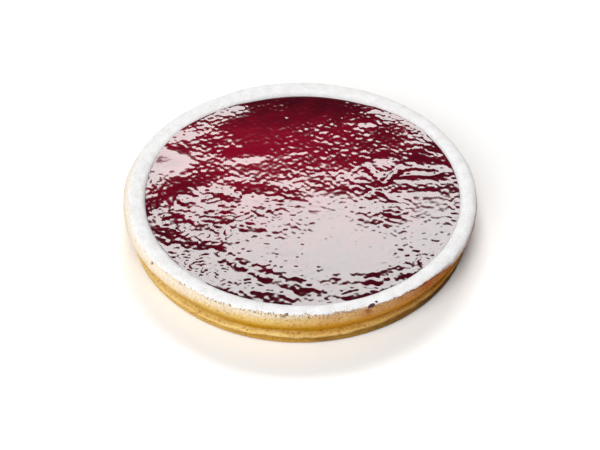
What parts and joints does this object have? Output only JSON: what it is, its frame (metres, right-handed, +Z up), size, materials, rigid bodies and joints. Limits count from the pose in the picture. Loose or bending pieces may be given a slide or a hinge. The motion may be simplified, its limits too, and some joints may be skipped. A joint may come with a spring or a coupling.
{
  "type": "cheesecake",
  "caption": "Round whole cheesecake in a baked pastry case with a raised sugared rim and a glossy red fruit jelly top; stands on its flat base.",
  "frame": {"origin": "middle of the flat base, on the surface that the cake stands on", "axes": "+Z up along the cake's axis, -Y towards the viewer, +X to the viewer's right"},
  "size_m": [0.2479, 0.2471, 0.0285],
  "materials": {
    "pastry": "baked golden shortcrust, matt and slightly crumbly, with a heavy dusting of white icing sugar on the rim",
    "jelly": "wet, glossy, rippled deep red fruit jelly"
  },
  "bodies": {
    "root": {"cake": "pastry", "fruit_jelly": "jelly"}
  },
  "joints": []
}
